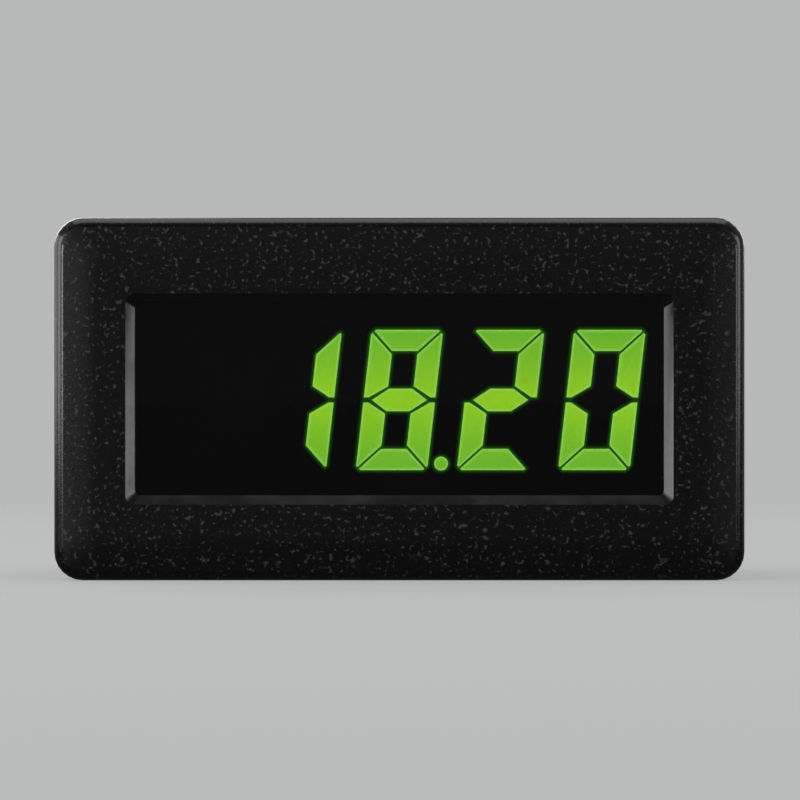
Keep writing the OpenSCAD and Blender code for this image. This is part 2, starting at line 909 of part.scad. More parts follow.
module terminal_screw(i) {
    x = way_x[i - 1];
    head_top = head_z + head_h;
    color("#b8bcc0") difference() {
        union() {
            rod_z(head_d, x, screw_y, head_z, head_top);
            rod_z(terminal_screw_d, x, screw_y, contact_z + contact_t + 0.15, head_z + embed);
        }
        block(x, slot_w, [screw_y - head_d, screw_y + head_d], [head_top - slot_deep, head_top + over]);
    }
}

module rear_cover() {
    plate_w = cavity_w - 2 * cover_gap;
    plate_h = cavity_h - 2 * cover_gap;
    open_w = block_w + 2 * snap_play;
    color("#202021") union() {
        plate_y(cover_y, cover_t) difference() {
            rounded_rect(plate_w, plate_h, cavity_r);
            both_sides() translate([lining_x - cover_gap, -lining_half - cover_gap]) {
                square([plate_w, 2 * (lining_half + cover_gap)]);
            }
            translate([0, (board_top + block_top + snap_play) / 2]) {
                square([open_w, block_top - board_top + snap_play], center = true);
            }
            translate([0, (board_top + board_bottom) / 2]) {
                square([tongue_w + 2 * snap_play, board_t + 2 * snap_play], center = true);
            }
            translate([dip_x, dip_z]) square([sliders * slider_pitch + 1.4, 5], center = true);
            for (x = [trimmer_zero_x, trimmer_span_x]) translate([x, trimmer_z]) circle(d = trim_hole_d);
        }
        both_sides() above_and_below() translate([snap_x, 0, 0]) cover_snap();
    }
}

// Spring leg of the rear cover, with a barb that catches in the tub's window.
module cover_snap() {
    z1 = cavity_h / 2 - cover_gap;
    barb_back = window_y + snap_window_l - 0.2;
    plate_x(-snap_w / 2, snap_w) polygon([
        [cover_y + embed, z1 - snap_t],
        [cover_y - snap_l, z1 - snap_t],
        [cover_y - snap_l, z1],
        [window_y + 0.2, z1],
        [barb_back - 0.5, z1 + snap_reach],
        [barb_back, z1 + snap_reach],
        [barb_back, z1],
        [cover_y + embed, z1]
    ]);
}

module panel_gasket() {
    margin = 0.3;
    color("#161616") plate_y(-gasket_t, gasket_t) difference() {
        rounded_rect(bezel_w - 2 * margin, bezel_h - 2 * margin, bezel_r - margin);
        rounded_rect(tub_w + margin, tub_h + margin, tub_r);
    }
}

// Clip: a ring round the tub with a boss in each side channel and two latching tongues.
module mounting_clip() {
    inner_w = tub_w + 2 * clip_clearance;
    inner_h = tub_h + 2 * clip_clearance;
    boss_deep = inner_w / 2 + 1 - boss_x;
    color("#242426") union() {
        difference() {
            union() {
                plate_y(clip_y, clip_d) difference() {
                    rounded_rect(clip_w, bezel_h, bezel_r);
                    rounded_rect(inner_w, inner_h, tub_r);
                }
                both_sides() {
                    block(boss_x + boss_deep / 2, boss_deep, [clip_y, clip_back], [-boss_half, boss_half]);
                }
            }
            for (side = sides) {
                rod_y(clamp_d + 0.4, side * clamp_x, 0, clip_y - over, clip_back + over);
                rod_y(insert_d, side * clamp_x, 0, clip_back - insert_l, clip_back + over);
            }
        }
        above_and_below() latch_tongue();
    }
}

module latch_tongue() {
    tip_z = tub_h / 2 - track_deep + tooth_h + tooth_clearance;
    end_y = clip_back + tongue_l;
    plate_x(-latch_w / 2, latch_w) polygon([
        [clip_back - over, tongue_z],
        [pawl_y - pawl_l, tongue_z],
        [pawl_y, tip_z],
        [pawl_y + 0.2, tip_z],
        [pawl_y + 0.2, tongue_z],
        [end_y, tongue_z],
        [end_y, bezel_h / 2],
        [end_y - tongue_t, bezel_h / 2],
        [end_y - tongue_t, tongue_z + tongue_t],
        [clip_back - over, tongue_z + tongue_t]
    ]);
}

module clamp_inserts() {
    color("#c9a44c") for (side = sides) {
        difference() {
            rod_y(insert_d, side * clamp_x, 0, clip_back - insert_l, clip_back);
            rod_y(clamp_d + 0.1, side * clamp_x, 0, clip_back - insert_l - over, clip_back + over);
        }
    }
}

module clamp_screw(side) {
    x = side * clamp_x;
    head_end = clamp_head_y + clamp_head_h;
    color("#b8bcc0") difference() {
        union() {
            rod_y(clamp_d, x, 0, clamp_tip_y, clamp_head_y + embed);
            rod_y(clamp_head_d, x, 0, clamp_head_y, head_end);
        }
        block(x, 2 * clamp_head_d, [head_end - slot_deep, head_end + over], [-slot_w / 2, slot_w / 2]);
    }
}

module clamp_foot(side) {
    x = side * clamp_x;
    color("#e6e2d6") difference() {
        rod_y(foot_d, x, 0, foot_y, foot_y + foot_t);
        rod_y(clamp_d + 0.2, x, 0, clamp_tip_y - 0.05, foot_y + foot_t + over);
    }
}

case();
window_seal();
window();
lcd_front_polariser();
lcd_front_glass();
lcd_edge_seal();
figure_tens();
figure_units();
decimal_point();
figure_tenths();
figure_hundredths();
lcd_rear_glass();
lcd_rear_polariser();
light_guide();
backlight_reflector();
backlight_leds();
display_frame();
zebra_strip_upper();
zebra_strip_lower();
display_board();
converter_chip();
main_board();
board_header();
header_pins();
capacitors();
voltage_regulator();
resistors();
trimmer_bodies();
trimmer_rotor_zero();
trimmer_rotor_span();
dip_switch_body();
dip_slider(1);  // dip_slider_1
dip_slider(2);  // dip_slider_2
dip_slider(3);  // dip_slider_3
dip_slider(4);  // dip_slider_4
terminal_housing();
terminal_contacts();
terminal_cage(1);  // terminal_cage_1
terminal_cage(2);  // terminal_cage_2
terminal_cage(3);  // terminal_cage_3
terminal_cage(4);  // terminal_cage_4
terminal_cage(5);  // terminal_cage_5
terminal_cage(6);  // terminal_cage_6
terminal_screw(1);  // terminal_screw_1
terminal_screw(2);  // terminal_screw_2
terminal_screw(3);  // terminal_screw_3
terminal_screw(4);  // terminal_screw_4
terminal_screw(5);  // terminal_screw_5
terminal_screw(6);  // terminal_screw_6
rear_cover();
panel_gasket();
mounting_clip();
clamp_inserts();
clamp_screw(-1);  // clamp_screw_left
clamp_screw(1);  // clamp_screw_right
clamp_foot(-1);  // clamp_foot_left
clamp_foot(1);  // clamp_foot_right
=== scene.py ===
import json
import math

import bmesh
import bpy
import numpy as np
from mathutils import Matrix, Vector


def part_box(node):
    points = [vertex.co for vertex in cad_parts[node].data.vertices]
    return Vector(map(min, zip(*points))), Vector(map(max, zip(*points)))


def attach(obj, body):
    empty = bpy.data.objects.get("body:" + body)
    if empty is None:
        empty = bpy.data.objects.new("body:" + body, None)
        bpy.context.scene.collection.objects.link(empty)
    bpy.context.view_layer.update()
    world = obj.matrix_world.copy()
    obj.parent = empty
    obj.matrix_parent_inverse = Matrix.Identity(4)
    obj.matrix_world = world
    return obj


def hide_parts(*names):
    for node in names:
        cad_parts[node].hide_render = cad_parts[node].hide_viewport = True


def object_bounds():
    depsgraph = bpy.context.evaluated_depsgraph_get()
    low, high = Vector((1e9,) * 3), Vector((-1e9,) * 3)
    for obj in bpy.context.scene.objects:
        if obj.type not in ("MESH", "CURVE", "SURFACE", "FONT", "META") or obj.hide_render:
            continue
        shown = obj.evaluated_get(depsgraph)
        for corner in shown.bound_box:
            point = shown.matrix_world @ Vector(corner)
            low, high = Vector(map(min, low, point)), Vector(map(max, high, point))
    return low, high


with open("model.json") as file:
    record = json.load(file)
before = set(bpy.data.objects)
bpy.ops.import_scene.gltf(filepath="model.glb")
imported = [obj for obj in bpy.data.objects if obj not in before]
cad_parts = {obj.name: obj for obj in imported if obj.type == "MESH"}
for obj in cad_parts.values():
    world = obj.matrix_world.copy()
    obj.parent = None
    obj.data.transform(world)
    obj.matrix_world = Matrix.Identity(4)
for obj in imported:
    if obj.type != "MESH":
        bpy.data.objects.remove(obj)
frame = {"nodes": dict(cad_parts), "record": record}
cad_lo, cad_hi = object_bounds()
NODES = frame["nodes"]
BODY = {n: b for b, names in frame["record"]["behaviour"]["bodies"].items() for n in names}
MM = 0.001

# ---------------------------------------------------------------- materials


class Mat:
    """A node material with short names for the nodes used here."""

    def __init__(self, name):
        self.m = bpy.data.materials.new(name)
        self.m.use_nodes = True
        self.t = self.m.node_tree
        self.t.nodes.clear()
        self.out = self.t.nodes.new("ShaderNodeOutputMaterial")
        self.b = self.t.nodes.new("ShaderNodeBsdfPrincipled")
        self.link(self.b.outputs[0], self.out.inputs[0])
        self.co = self.t.nodes.new("ShaderNodeTexCoord").outputs["Object"]

    def link(self, a, b):
        self.t.links.new(a, b)

    def set(self, **kw):
        names = {
            "color": "Base Color", "rough": "Roughness", "metal": "Metallic", "spec": "Specular IOR Level",
            "ior": "IOR", "trans": "Transmission Weight",
            "emit": "Emission Strength", "emit_color": "Emission Color",
        }
        for k, v in kw.items():
            self.b.inputs[names[k]].default_value = (*v, 1) if isinstance(v, tuple) else v

    def scaled(self, x, y, z):
        n = self.t.nodes.new("ShaderNodeMapping")
        n.inputs["Scale"].default_value = (x, y, z)
        self.link(self.co, n.inputs["Vector"])
        return n.outputs[0]

    def noise(self, scale, detail=2.0, rough=0.5, vector=None):
        n = self.t.nodes.new("ShaderNodeTexNoise")
        n.inputs["Scale"].default_value = scale
        n.inputs["Detail"].default_value = detail
        n.inputs["Roughness"].default_value = rough
        self.link(vector or self.co, n.inputs["Vector"])
        return n.outputs["Fac"]

    def ramp(self, fac, *stops):
        """stops are (place, colour or grey)."""
        n = self.t.nodes.new("ShaderNodeValToRGB")
        e = n.color_ramp.elements
        for i, (p, c) in enumerate(stops):
            el = e[i] if i < 2 else e.new(p)
            el.position = p
            el.color = (c, c, c, 1) if isinstance(c, (int, float)) else (*c, 1)
        self.link(fac, n.inputs[0])
        return n.outputs[0]

    def math(self, op, a, b=0.0, clamp=False):
        n = self.t.nodes.new("ShaderNodeMath")
        n.operation = op
        n.use_clamp = clamp
        for i, v in enumerate((a, b)):
            if isinstance(v, (int, float)):
                n.inputs[i].default_value = v
            else:
                self.link(v, n.inputs[i])
        return n.outputs[0]

    def mix(self, fac, a, b):
        """Blend two colours, each a tuple or a socket."""
        n = self.t.nodes.new("ShaderNodeMix")
        n.data_type = "RGBA"
        self.link(fac, n.inputs[0])
        for i, v in ((6, a), (7, b)):
            if isinstance(v, tuple):
                n.inputs[i].default_value = (*v, 1)
            else:
                self.link(v, n.inputs[i])
        return n.outputs[2]

    def span(self, v, a, b, lo=0.0, hi=1.0):
        """Map a to b onto lo to hi."""
        n = self.t.nodes.new("ShaderNodeMapRange")
        self.link(v, n.inputs[0])
        for i, x in enumerate((a, b, lo, hi)):
            n.inputs[i + 1].default_value = x
        return n.outputs[0]

    def attr(self, name):
        n = self.t.nodes.new("ShaderNodeAttribute")
        n.attribute_name = name
        return n.outputs["Fac"]

    def axis(self, i):
        n = self.t.nodes.new("ShaderNodeSeparateXYZ")
        self.link(self.co, n.inputs[0])
        return n.outputs[i]

    def bump(self, height, dist, strength):
        n = self.t.nodes.new("ShaderNodeBump")
        n.inputs["Strength"].default_value = strength
        n.inputs["Distance"].default_value = dist
        self.link(height, n.inputs["Height"])
        return n.outputs[0]

    def to(self, name, socket):
        self.link(socket, self.b.inputs[name])


def eroded_plastic(name, dark, light, grain=0.28, depth=0.02, rough=(0.3, 0.46), spec=0.5,
                   glint_crests=(0.6, 0.72)):
    """Spark-eroded moulded plastic: grain and depth in mm, with painted glints in the light colour on the
    crests of the grain.
    """
    m = Mat(name)
    fine = m.noise(1000 / grain, 3, 0.6)
    speck = m.noise(620 / grain, 1.5, 0.55)
    height = m.math("ADD", m.math("MULTIPLY", fine, 0.6), m.math("MULTIPLY", speck, 0.7))
    # Painted glints: the crests of the grain take the light colour, a painted sparkle highlight.
    painted_glint = m.ramp(speck, (glint_crests[0], 0.0), (glint_crests[1], 1.0))
    tone = m.mix(m.math("MULTIPLY", m.noise(60, 2), 0.5), dark, tuple(c * 1.25 for c in dark))
    m.to("Base Color", m.mix(painted_glint, tone, light))
    m.to("Roughness", m.span(fine, 0.3, 0.7, *rough))
    m.to("Normal", m.bump(height, depth * MM, 0.9))
    m.set(spec=spec)
    return m


def moulded_plastic(name, colour, rough=0.4, wear=0.06, grain=0.5, depth=0.006, spec=0.5):
    """Smooth moulded plastic with faint flow marks: grain and depth in mm."""
    m = Mat(name)
    flow = m.noise(35, 3, 0.55, m.scaled(1, 2.5, 1))
    fine = m.noise(1000 / grain, 2, 0.5)
    lighter = tuple(min(1, c * (1 + 3 * wear) + 0.01 * wear) for c in colour)
    m.to("Base Color", m.mix(flow, colour, lighter))
    m.to("Roughness", m.span(m.noise(180, 3, 0.6), 0.3, 0.75, rough - 0.08, rough + 0.1))
    m.to("Normal", m.bump(fine, depth * MM, 0.5))
    m.set(spec=spec)
    return m


def plated_metal(name, colour, rough=0.28, streak=(300, 300, 3000), stain=(0.45, 0.42, 0.36)):
    """Zinc or nickel plating with turning marks and slight tarnish."""
    m = Mat(name)
    lines = m.noise(1.0, 4, 0.6, m.scaled(*streak))
    tarnish = m.noise(420, 4, 0.6)
    spots = m.ramp(tarnish, (0.5, 0.0), (0.78, 0.55))
    m.to("Base Color", m.mix(spots, colour, tuple(a * b for a, b in zip(colour, stain))))
    polish = m.span(lines, 0.3, 0.7, rough - 0.07, rough + 0.1)
    m.to("Roughness", m.math("ADD", polish, m.math("MULTIPLY", spots, 0.18)))
    m.to("Normal", m.bump(lines, 0.003 * MM, 0.5))
    m.set(metal=1.0)
    return m


def use(mat, *nodes):
    """Give CAD nodes a material."""
    for n in nodes:
        o = NODES[n]
        if not o.data.materials:
            o.data.materials.append(mat.m)
        for i in range(len(o.data.materials)):
            o.data.materials[i] = mat.m
        for s in o.material_slots:
            s.material = mat.m


# The second colour of each eroded plastic is the colour of its painted glints.
black = eroded_plastic("bezel_black", (0.0026, 0.0026, 0.0028), (0.042, 0.042, 0.044),
                       rough=(0.34, 0.5), depth=0.026, spec=0.22, glint_crests=(0.6, 0.7))
black_edge = eroded_plastic("bezel_edge", (0.003, 0.003, 0.0032), (0.03, 0.03, 0.031),
                            rough=(0.13, 0.2), depth=0.006)
bevel_gloss = moulded_plastic("bevel_gloss", (0.004, 0.004, 0.0045), rough=0.16, depth=0.0015, spec=0.6)
clip_black = eroded_plastic("clip_black", (0.008, 0.008, 0.0085), (0.02, 0.02, 0.02),
                            grain=0.22, depth=0.012, rough=(0.36, 0.52))
cover_black = eroded_plastic("cover_black", (0.007, 0.007, 0.0075), (0.018, 0.018, 0.018),
                             grain=0.25, depth=0.014)
tape = moulded_plastic("black_tape", (0.003, 0.003, 0.003), rough=0.8, spec=0.2)
foam = eroded_plastic("foam_rubber", (0.006, 0.006, 0.006), (0.016, 0.016, 0.016),
                      grain=0.35, depth=0.05, rough=(0.75, 0.95), spec=0.25)
zinc = plated_metal("zinc_plate", (0.58, 0.585, 0.57), rough=0.3)
brass = plated_metal("plated_brass", (0.62, 0.46, 0.2), rough=0.32, stain=(0.6, 0.5, 0.4))
nylon = moulded_plastic("natural_nylon", (0.62, 0.6, 0.5), rough=0.42)
green_block = moulded_plastic("terminal_green", (0.02, 0.17, 0.05), rough=0.36)
red_switch = moulded_plastic("switch_red", (0.42, 0.025, 0.02), rough=0.35)
white_plastic = moulded_plastic("white_plastic", (0.78, 0.78, 0.74), rough=0.4)
blue_trim = moulded_plastic("trimmer_blue", (0.02, 0.09, 0.42), rough=0.3)
cream = moulded_plastic("rotor_cream", (0.74, 0.7, 0.58), rough=0.42)
board_green = moulded_plastic("board_green", (0.01, 0.1, 0.035), rough=0.3)
epoxy = moulded_plastic("epoxy_black", (0.012, 0.012, 0.013), rough=0.5)
sleeve = moulded_plastic("capacitor_sleeve", (0.012, 0.016, 0.035), rough=0.3)
lacquer = moulded_plastic("resistor_lacquer", (0.5, 0.32, 0.14), rough=0.35)
film_white = moulded_plastic("white_film", (0.86, 0.86, 0.84), rough=0.5)
led_lens = moulded_plastic("led_lens", (0.45, 0.6, 0.1), rough=0.2)
strip = moulded_plastic("elastomer", (0.5, 0.22, 0.25), rough=0.6)

TERMINALS = range(1, 7)
SWITCHES = range(1, 5)
SIDES = ("left", "right")

use(black, "case")
use(tape, "window_seal", "lcd_edge_seal")
use(foam, "panel_gasket")
use(clip_black, "mounting_clip")
use(cover_black, "rear_cover")
use(zinc, "clamp_screw_left", "clamp_screw_right", *[f"terminal_screw_{i}" for i in TERMINALS])
use(brass, "clamp_inserts", "terminal_contacts", "header_pins", *[f"terminal_cage_{i}" for i in TERMINALS])
use(nylon, "clamp_foot_left", "clamp_foot_right")
use(green_block, "terminal_housing")
use(red_switch, "dip_switch_body")
use(white_plastic, "display_frame", *[f"dip_slider_{i}" for i in SWITCHES])
use(blue_trim, "trimmer_bodies")
use(cream, "trimmer_rotor_zero", "trimmer_rotor_span")
use(board_green, "main_board", "display_board")
use(epoxy, "converter_chip", "board_header", "voltage_regulator")
use(sleeve, "capacitors")
use(lacquer, "resistors")
use(film_white, "backlight_reflector")
use(led_lens, "backlight_leds")
use(strip, "zebra_strip_upper", "zebra_strip_lower")

# The smoked pane, the clear films and glass, and the dark cell behind them.
# LEAK is the backlight's faint leak through the dark cell.
LEAK = (0.0052, 0.0052, 0.0053)
pane = Mat("smoked_pane")
pane.set(trans=1.0, ior=1.49, rough=0.0)
pane.to("Base Color", pane.mix(pane.noise(40, 2), (0.76, 0.78, 0.76), (0.8, 0.82, 0.8)))
use(pane, "window")


def thin_clear(name, tint, gloss):
    """A clear layer that doesn't bend light, for films laminated to glass."""
    m = Mat(name)
    m.t.nodes.remove(m.b)
    clear = m.t.nodes.new("ShaderNodeBsdfTransparent")
    shine = m.t.nodes.new("ShaderNodeBsdfGlossy")
    shine.inputs["Roughness"].default_value = 0.03
    m.link(m.mix(m.noise(90, 2), tint, tuple(c * 0.96 for c in tint)), clear.inputs[0])
    mix = m.t.nodes.new("ShaderNodeMixShader")
    mix.inputs[0].default_value = gloss
    m.link(clear.outputs[0], mix.inputs[1])
    m.link(shine.outputs[0], mix.inputs[2])
    m.link(mix.outputs[0], m.out.inputs[0])
    return m


film = thin_clear("polariser_film", (0.85, 0.87, 0.85), 0.01)
cell = thin_clear("cell_glass", (0.95, 0.97, 0.95), 0.004)
use(film, "lcd_front_polariser", "lcd_rear_polariser")
use(cell, "lcd_front_glass")
dark_cell = moulded_plastic("dark_cell", (0.001, 0.0011, 0.0012), rough=0.3, spec=0.1)
dark_cell.set(emit_color=LEAK, emit=1.0)
use(dark_cell, "lcd_rear_glass")
guide = moulded_plastic("light_guide", (0.55, 0.66, 0.42), rough=0.25)
use(guide, "light_guide")

# ---------------------------------------------------------------- pieces made from the CAD nodes


def piece(name, mesh, node, *materials):
    """A scene piece that stands for a CAD node, rides on its body and takes its finish."""
    ob = bpy.data.objects.new(name, mesh)
    bpy.context.scene.collection.objects.link(ob)
    for m in materials:
        mesh.materials.append(m.m)
    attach(ob, BODY[node])
    return ob


def clean_copy(node):
    """The CAD node's mesh as a bmesh of whole flat faces."""
    bm = bmesh.new()
    bm.from_mesh(NODES[node].data)
    bmesh.ops.remove_doubles(bm, verts=bm.verts, dist=1e-6)
    bmesh.ops.dissolve_limit(bm, angle_limit=math.radians(0.5), verts=bm.verts, edges=bm.edges)
    return bm


def shade(bm, angle=25):
    """Smooth shading with sharp edges kept above an angle."""
    for f in bm.faces:
        f.smooth = True
    for e in bm.edges:
        e.smooth = len(e.link_faces) == 2 and e.calc_face_angle(0) <= math.radians(angle)


def finished(bm, name):
    """The bmesh as a new mesh."""
    me = bpy.data.meshes.new(name)
    bm.to_mesh(me)
    bm.free()
    return me


def refine(node, *materials, bevel=0.0, segments=2, angle=25, pick=None):
    """A smooth-shaded copy of a CAD node that replaces it, with sharp edges rounded by bevel mm.
    pick(centre in mm, normal) gives the number of a face's material."""
    bm = clean_copy(node)
    shade(bm, angle)
    if pick:
        for f in bm.faces:
            f.material_index = pick(f.calc_center_median() / MM, f.normal)
    ob = piece(node + "_finish", finished(bm, node + "_finish"), node, *materials)
    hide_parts(node)
    if bevel:
        mod = ob.modifiers.new("edges", "BEVEL")
        mod.width = bevel * MM
        mod.segments = segments
        mod.limit_method = "ANGLE"
        mod.angle_limit = math.radians(35)
        mod.harden_normals = True
        mod.use_clamp_overlap = True


# In mm: a box just outside the window's bevel, and the depth behind which the bezel's edge is plain.
BEVEL_HALF_W = 29.8
BEVEL_HALF_H = 11.5
EDGE_BACK = -5.5


def bezel_finish(c, n):
    """1 for the smooth bevel round the window, 2 for the burnished round of the front edge, else 0."""
    slopes_forward = -0.97 < n.y < -0.1
    if not slopes_forward or c.y > EDGE_BACK:
        return 0
    return 1 if abs(c.x) < BEVEL_HALF_W and abs(c.z) < BEVEL_HALF_H else 2


refine("case", black, bevel_gloss, black_edge, pick=bezel_finish)
refine("mounting_clip", clip_black, bevel=0.12)
refine("rear_cover", cover_black, bevel=0.12)
refine("terminal_housing", green_block, bevel=0.1)
refine("dip_switch_body", red_switch, bevel=0.1)
refine("trimmer_bodies", blue_trim, bevel=0.12)
refine("panel_gasket", foam, bevel=0.15)
for side in SIDES:
    refine(f"clamp_foot_{side}", nylon, bevel=0.2, segments=3)
for i in TERMINALS:
    refine(f"terminal_screw_{i}", zinc, bevel=0.09)
for i in SWITCHES:
    refine(f"dip_slider_{i}", white_plastic, bevel=0.12)
for n in ("zero", "span"):
    refine(f"trimmer_rotor_{n}", cream, bevel=0.08)

# ---------------------------------------------------------------- threaded clamp screws

HEAD_H = 1.6 * MM
CREST_D = 2.48 * MM
ROOT_D = 2.05 * MM
PITCH = 0.45 * MM
THREAD_LAP = 0.02 * MM
WELD = 2e-7


def thread(bm, x, z, y0, y1, major, minor, pitch, steps=14):
    """A helical thread along Y as a closed skin: root, flank, crest, flank, in each turn."""
    turns = int((y1 - y0) / pitch) + 2
    # Each point of one turn's profile: its share of the pitch and its diameter.
    shape = ((0.0, minor), (0.12, minor), (0.42, major), (0.58, major), (0.88, minor), (1.0, minor))
    run_in = 0.8 * pitch
    rows = []
    for k in range((turns + 1) * steps + 1):
        a = 2 * math.pi * k / steps
        base = y0 + pitch * (k / steps - 1)
        row = []
        for part, d in shape:
            y = min(max(base + part * pitch, y0), y1)
            grown = max(min((y - y0) / run_in, 1.0), 0.0)
            r = (minor + (d - minor) * grown) / 2
            row.append(bm.verts.new((x + r * math.cos(a), y, z + r * math.sin(a))))
        rows.append(row)
    for p, q in zip(rows, rows[1:]):
        for i in range(len(shape) - 1):
            if p[i].co.y < y1 - 1e-9 or q[i + 1].co.y < y1 - 1e-9:
                bm.faces.new((p[i], p[i + 1], q[i + 1], q[i]))


def close_holes(bm):
    bmesh.ops.holes_fill(bm, edges=[e for e in bm.edges if e.is_boundary], sides=0)


def clamp_screw(node):
    """The slotted head of the CAD screw on a shank with a real thread."""
    lo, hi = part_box(node)
    x, z = (lo.x + hi.x) / 2, (lo.z + hi.z) / 2
    head = hi.y - HEAD_H
    bm = clean_copy(node)
    shank = [f for f in bm.faces if min(v.co.y for v in f.verts) < head - 0.01 * MM]
    bmesh.ops.delete(bm, geom=shank, context="FACES")
    bmesh.ops.delete(bm, geom=[v for v in bm.verts if not v.link_faces], context="VERTS")
    close_holes(bm)
    sharp = [e for e in bm.edges if len(e.link_faces) == 2 and e.calc_face_angle(0) > math.radians(40)]
    bmesh.ops.bevel(bm, geom=sharp, offset=0.1 * MM, segments=2, profile=0.5, affect="EDGES",
                    clamp_overlap=True)
    thread(bm, x, z, lo.y + THREAD_LAP, head + THREAD_LAP, CREST_D, ROOT_D, PITCH)
    bmesh.ops.remove_doubles(bm, verts=bm.verts, dist=WELD)
    close_holes(bm)
    bmesh.ops.dissolve_degenerate(bm, dist=WELD, edges=bm.edges)
    bmesh.ops.recalc_face_normals(bm, faces=bm.faces)
    shade(bm, 35)
    ob = piece(node + "_threaded", finished(bm, node + "_threaded"), node, zinc)
    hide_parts(node)


for side in SIDES:
    clamp_screw(f"clamp_screw_{side}")

# ---------------------------------------------------------------- solder side of the board's tongue

solder = plated_metal("solder", (0.62, 0.63, 0.64), rough=0.2, streak=(900, 900, 900), stain=(0.7, 0.7, 0.7))
track_green = moulded_plastic("track_green", (0.02, 0.17, 0.06), rough=0.26)
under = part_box("main_board")[0].z
post_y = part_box("terminal_contacts")[0].y + 0.4 * MM
cages = [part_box(f"terminal_cage_{i}") for i in TERMINALS]
post_x = [(lo.x + hi.x) / 2 for lo, hi in cages]


def solder_joints(around=28):
    """A concave cone of solder round each terminal post, on a tinned pad."""
    # Radius and height in mm, from the pad's rim to the tip.
    profile = ((1.3, 0.0), (1.28, 0.05), (1.05, 0.07), (0.86, 0.22), (0.72, 0.5), (0.64, 0.85), (0.5, 1.0))
    tip_h = 1.03
    bm = bmesh.new()

    def ring(x, r, h):
        angles = [2 * math.pi * k / around for k in range(around)]
        return [bm.verts.new((x + r * MM * math.cos(a), post_y + r * MM * math.sin(a), under - h * MM))
                for a in angles]

    for x in post_x:
        rings = [ring(x, r, h) for r, h in profile]
        tip = bm.verts.new((x, post_y, under - tip_h * MM))
        for a, b in zip(rings, rings[1:]):
            for k in range(around):
                bm.faces.new((a[k], b[k], b[(k + 1) % around], a[(k + 1) % around]))
        for k in range(around):
            bm.faces.new((rings[-1][k], tip, rings[-1][(k + 1) % around]))
        bm.faces.new(rings[0])
    bmesh.ops.recalc_face_normals(bm, faces=bm.faces)
    shade(bm, 60)
    return finished(bm, "solder_joints")


def tracks():
    """Wide copper tracks under the solder mask, from each pad into the housing."""
    bm = bmesh.new()
    thick = 0.045 * MM
    half = 0.8 * MM
    fan = 0.35 * MM
    section = ((-half, 0.0), (-half + thick, thick), (half - thick, thick), (half, 0.0))
    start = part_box("rear_cover")[1].y - 1.6 * MM
    bend = start + 0.9 * MM
    middle = (len(post_x) - 1) / 2
    for k, x in enumerate(post_x):
        lean = (k - middle) * fan
        line = [(x - lean, start), (x - lean, bend), (x, post_y - 1.0 * MM), (x, post_y)]
        rings = [[bm.verts.new((px + a, py, under - h)) for a, h in section] for px, py in line]
        for a, b in zip(rings, rings[1:]):
            for i in range(len(section)):
                j = (i + 1) % len(section)
                bm.faces.new((a[i], a[j], b[j], b[i]))
        bm.faces.new(rings[0])
        bm.faces.new(rings[-1])
    bmesh.ops.recalc_face_normals(bm, faces=bm.faces)
    shade(bm, 20)
    return finished(bm, "board_tracks")


piece("solder_joints", solder_joints(), "main_board", solder)
piece("board_tracks", tracks(), "main_board", track_green)

# ---------------------------------------------------------------- lit figures

FIGURES = ["figure_tens", "figure_units", "decimal_point", "figure_tenths", "figure_hundredths"]
GLASS_CLEARANCE = 0.015 * MM
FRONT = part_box("figure_units")[0].y + GLASS_CLEARANCE
RIM_W = 0.36 * MM
POINT_RIM_W = 0.3 * MM

lit = Mat("lit_bars")
from_middle = lit.span(lit.math("ABSOLUTE", lit.axis(2)), 0.4 * MM, 6.8 * MM)
body = lit.ramp(from_middle, (0.0, (0.31, 0.6, 0.02)), (0.45, (0.235, 0.53, 0.026)),
                (1.0, (0.165, 0.46, 0.032)))
patchy = lit.mix(lit.math("MULTIPLY", lit.noise(170, 2), 0.16), body, (0.33, 0.6, 0.03))
rim = lit.math("POWER", lit.attr("rim"), 1.3)
lit.to("Emission Color", lit.mix(lit.math("MULTIPLY", rim, 0.85), patchy, (0.35, 0.66, 0.135)))
lit.set(color=(0.02, 0.04, 0.01), rough=0.6, spec=0.0, emit=1.95)

glow = Mat("cell_glow")
glow.to("Emission Color", glow.mix(glow.attr("glow"), LEAK, (0.03, 0.22, 0.004)))
glow.set(color=(0.001, 0.0011, 0.0012), rough=0.3, spec=0.1, emit=1.0)

# Each bar's front outline, as x and z, for the glow round it.
outlines = []
for node in FIGURES:
    bm = clean_copy(node)
    lip = min(v.co.y for v in bm.verts)
    for v in bm.verts:
        if v.co.y < lip + 1e-6:
            v.co.y = FRONT
    faces = [f for f in bm.faces if f.normal.y < -0.99]
    outlines += [[(v.co.x, v.co.z) for v in f.verts] for f in faces]
    inset = POINT_RIM_W if node == "decimal_point" else RIM_W
    bmesh.ops.inset_region(bm, faces=faces, thickness=inset, use_even_offset=True)
    layer = bm.verts.layers.float.new("rim")
    inner = {v for f in faces for v in f.verts}
    for v in bm.verts:
        v[layer] = 0.0 if v in inner else 1.0
    shade(bm, 20)
    ob = piece(node + "_lit", finished(bm, node + "_lit"), node, lit)
    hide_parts(node)


